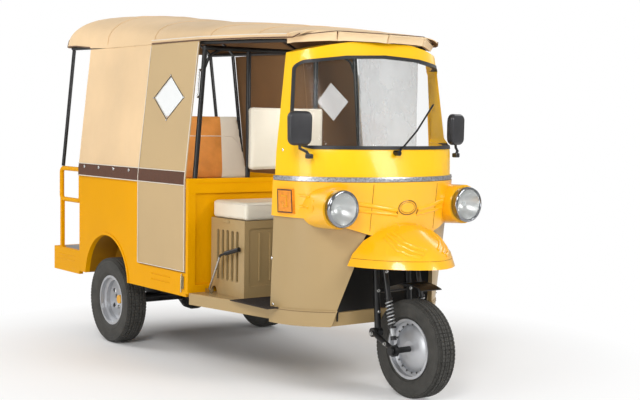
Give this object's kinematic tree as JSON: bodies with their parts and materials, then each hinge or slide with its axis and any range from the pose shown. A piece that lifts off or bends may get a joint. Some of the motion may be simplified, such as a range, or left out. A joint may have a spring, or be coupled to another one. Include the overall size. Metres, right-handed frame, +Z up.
{
  "type": "auto rickshaw",
  "caption": "Three-wheeled passenger taxi with a canvas canopy, open driver's door, bench seat, luggage deck and a steered front wheel.",
  "frame": {"origin": "on the ground under the middle of the vehicle's length and width", "axes": "+X forward, +Y to the driver's left, +Z up"},
  "size_m": [3.026, 1.1986, 1.955],
  "materials": {
    "tyre": "matte",
    "rim": "satin",
    "axle_black": "satin",
    "frame_black": "satin",
    "yellow": "gloss",
    "orange": "gloss",
    "beige": "gloss",
    "deck": "satin",
    "canvas": "matte",
    "clear": "gloss",
    "seat": "satin",
    "seat_brown": "satin",
    "engine": "matte",
    "seal": "matte",
    "chrome": "polished",
    "lamp": "polished",
    "amber": "gloss",
    "plastic_black": "satin",
    "visor": "gloss",
    "steel": "satin"
  },
  "bodies": {
    "body": {"rear_axle": "axle_black", "leaf_springs": "axle_black", "chassis": "frame_black", "rear_floor": "deck", "luggage_deck": "deck", "wheel_tubs": "frame_black", "side_panel_left": "yellow", "side_panel_right": "yellow", "rear_skirt": "yellow", "rear_panel": "yellow", "rear_rails": "yellow", "bulkhead": "yellow", "roof_canopy": "canvas", "roof_frame": "frame_black", "roof_bows": "frame_black", "partition_hoop": "frame_black", "side_canopies": "canvas", "side_flaps": "canvas", "flap_windows": "clear", "cab_floor": "beige", "driver_seat_box": "beige", "driver_cushion": "seat", "driver_backrest": "seat", "engine": "engine", "rear_seat_box": "beige", "rear_cushion": "seat_brown", "rear_backrest": "seat_brown", "cowl_lower": "beige", "wheel_well": "frame_black", "cowl_upper": "yellow", "windscreen": "clear", "windscreen_seal": "seal", "belt_trim": "chrome", "front_mask": "orange", "headlamps": "lamp", "indicators": "amber", "nose_fender": "orange", "mirrors": "plastic_black", "wiper": "plastic_black", "visor": "visor", "door_curtain": "clear", "hand_lever": "steel"},
    "steering": {"steering_column": "frame_black", "handlebar_grips": "plastic_black", "fork": "axle_black", "leading_links": "axle_black", "front_shocks": "steel", "front_mudguard": "plastic_black"},
    "front_wheel": {"tyre_front": "tyre", "rim_front": "rim"},
    "rear_wheel_left": {"tyre_rear_left": "tyre", "rim_rear_left": "rim"},
    "rear_wheel_right": {"tyre_rear_right": "tyre", "rim_rear_right": "rim"}
  },
  "joints": [
    {"name": "steering", "type": "hinge", "parent": "body", "child": "steering", "pos_m": [1.07956, 0, 0.7], "axis": [-0.309, 0, 0.9511], "range_deg": [-38, 38]},
    {"name": "front_wheel_spin", "type": "hinge", "parent": "steering", "child": "front_wheel", "pos_m": [1.277, 0, 0.236], "axis": [0, 1, 0], "continuous": true},
    {"name": "rear_left_wheel_spin", "type": "hinge", "parent": "body", "child": "rear_wheel_left", "pos_m": [-0.793, 0.513, 0.2475], "axis": [0, 1, 0], "continuous": true},
    {"name": "rear_right_wheel_spin", "type": "hinge", "parent": "body", "child": "rear_wheel_right", "pos_m": [-0.793, -0.513, 0.2475], "axis": [0, 1, 0], "continuous": true}
  ]
}
